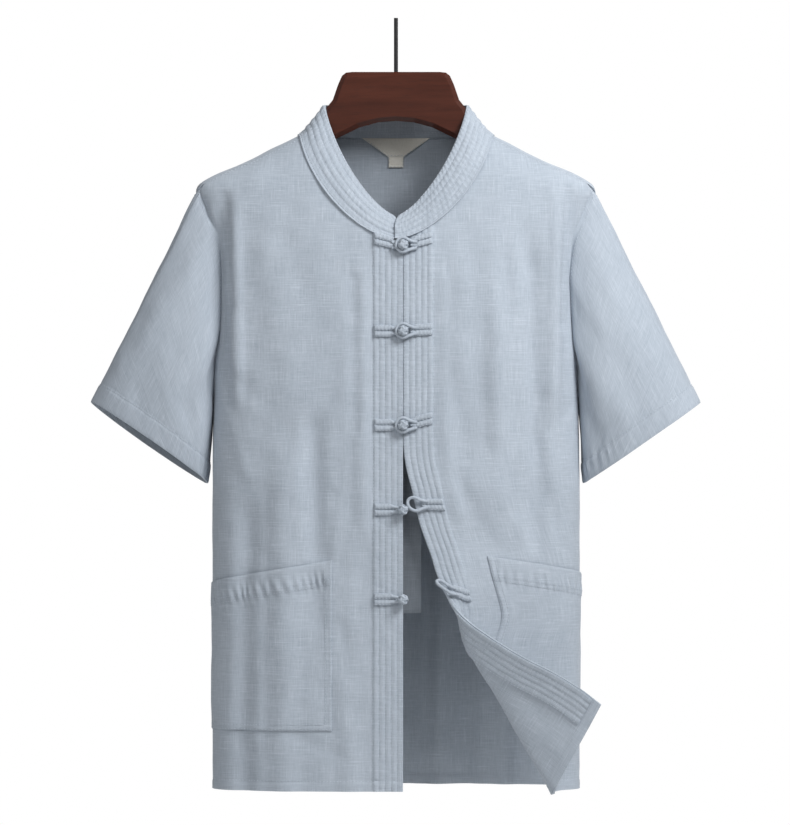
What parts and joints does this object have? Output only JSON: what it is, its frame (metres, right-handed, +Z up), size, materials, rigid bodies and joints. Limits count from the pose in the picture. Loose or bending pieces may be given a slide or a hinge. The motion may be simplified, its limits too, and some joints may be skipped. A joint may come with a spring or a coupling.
{
  "type": "short-sleeved linen jacket on a wooden hanger",
  "caption": "Short-sleeved linen jacket with a band collar, knotted cord closures and patch pockets, hung on a wooden hanger with an upright rod.",
  "frame": {"origin": "centre of the top end of the hanger's rod, where the whole is held", "axes": "+X towards the wearer's left, -Y towards the garment's front, +Z up along the rod"},
  "size_m": [0.6948, 0.202, 0.8789],
  "materials": {
    "linen": "matt slubbed linen",
    "linen_cord": "matt linen cord",
    "label_tape": "smooth woven tape",
    "stained_wood": "satin varnish",
    "black_metal": "satin"
  },
  "bodies": {
    "root": {"front_right": "linen", "front_left": "linen", "back": "linen", "sleeve_right": "linen", "sleeve_left": "linen", "collar": "linen", "pocket_right": "linen", "pocket_left": "linen", "facing_left": "linen", "underlap": "linen", "frog_knot_1": "linen_cord", "frog_loop_1": "linen_cord", "frog_knot_2": "linen_cord", "frog_loop_2": "linen_cord", "frog_knot_3": "linen_cord", "frog_loop_3": "linen_cord", "frog_knot_4": "linen_cord", "frog_loop_4": "linen_cord", "frog_knot_5": "linen_cord", "frog_loop_5": "linen_cord", "label": "label_tape", "size_tab": "label_tape", "hanger": "stained_wood", "rod": "black_metal"}
  },
  "joints": []
}
